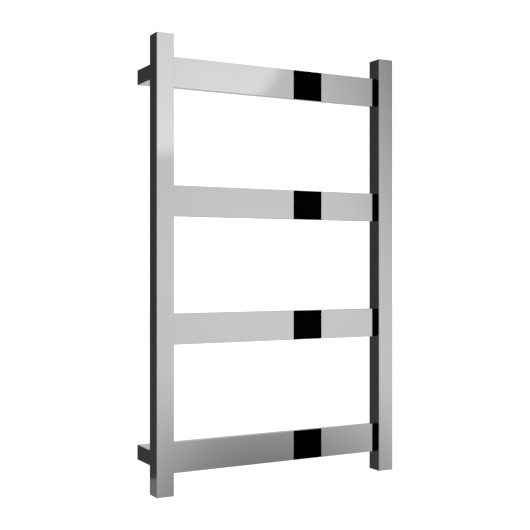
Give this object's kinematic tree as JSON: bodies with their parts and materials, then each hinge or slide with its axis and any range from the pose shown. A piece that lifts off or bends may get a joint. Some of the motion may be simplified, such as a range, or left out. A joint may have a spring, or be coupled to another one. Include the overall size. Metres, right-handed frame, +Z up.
{
  "type": "towel warmer rack",
  "caption": "Wall-hung towel warmer: two upright tubes joined by wide flat rungs with black square inlays, on telescopic wall brackets, with bottom water connections.",
  "frame": {"origin": "centre of the four wall holes, in the wall plane, which is also half way up the rack", "axes": "+X along the rungs, to the right seen from the front; +Y towards the wall, so the front faces -Y; +Z up"},
  "size_m": [0.495, 0.092, 0.8],
  "materials": {
    "chromed_tube": "mirror-polished chrome plate on steel tube",
    "chromed_fitting": "polished chrome plate",
    "bracket_stub": "satin chrome plate",
    "bright_steel": "machined, zinc plated",
    "black_inlay": "deep gloss black",
    "black_collar": "satin black",
    "rubber_seal": "matt",
    "vent_plastic": "moulded white"
  },
  "bodies": {
    "wall_stubs": {"wall_stub_upper_left": "bracket_stub", "wall_stub_upper_right": "bracket_stub", "wall_stub_lower_left": "bracket_stub", "wall_stub_lower_right": "bracket_stub"},
    "rack": {"upright_left": "chromed_tube", "top_cap_left": "chromed_tube", "water_port_left": "bright_steel", "upright_right": "chromed_tube", "top_cap_right": "chromed_tube", "water_port_right": "bright_steel", "rung_1": "chromed_tube", "inlay_1": "black_inlay", "rung_collar_1_left": "black_collar", "rung_collar_1_right": "black_collar", "rung_2": "chromed_tube", "inlay_2": "black_inlay", "rung_collar_2_left": "black_collar", "rung_collar_2_right": "black_collar", "rung_3": "chromed_tube", "inlay_3": "black_inlay", "rung_collar_3_left": "black_collar", "rung_collar_3_right": "black_collar", "rung_4": "chromed_tube", "inlay_4": "black_inlay", "rung_collar_4_left": "black_collar", "rung_collar_4_right": "black_collar", "bracket_sleeve_upper_left": "chromed_tube", "clamp_screw_upper_left": "bright_steel", "bracket_sleeve_upper_right": "chromed_tube", "clamp_screw_upper_right": "bright_steel", "bracket_sleeve_lower_left": "chromed_tube", "clamp_screw_lower_left": "bright_steel", "bracket_sleeve_lower_right": "chromed_tube", "clamp_screw_lower_right": "bright_steel", "tapped_boss_left": "bright_steel", "tapped_boss_right": "bright_steel", "vent_body": "chromed_fitting", "vent_sealing_ring": "rubber_seal", "blanking_plug": "chromed_fitting", "plug_sealing_ring": "rubber_seal"},
    "vent_nozzle": {"vent_nozzle": "vent_plastic"},
    "bleed_screw": {"bleed_screw": "chromed_fitting"}
  },
  "joints": [
    {"name": "wall_distance", "type": "slide", "parent": "wall_stubs", "child": "rack", "axis": [0, -1, 0], "range_m": [0, 0.008]},
    {"name": "nozzle_turn", "type": "hinge", "parent": "rack", "child": "vent_nozzle", "pos_m": [0.2315, -0.0535, 0.374], "axis": [0, 1, 0], "continuous": true},
    {"name": "bleed_turn", "type": "hinge", "parent": "rack", "child": "bleed_screw", "pos_m": [0.2315, -0.0535, 0.374], "axis": [0, 1, 0], "range_deg": [0, 180]}
  ]
}
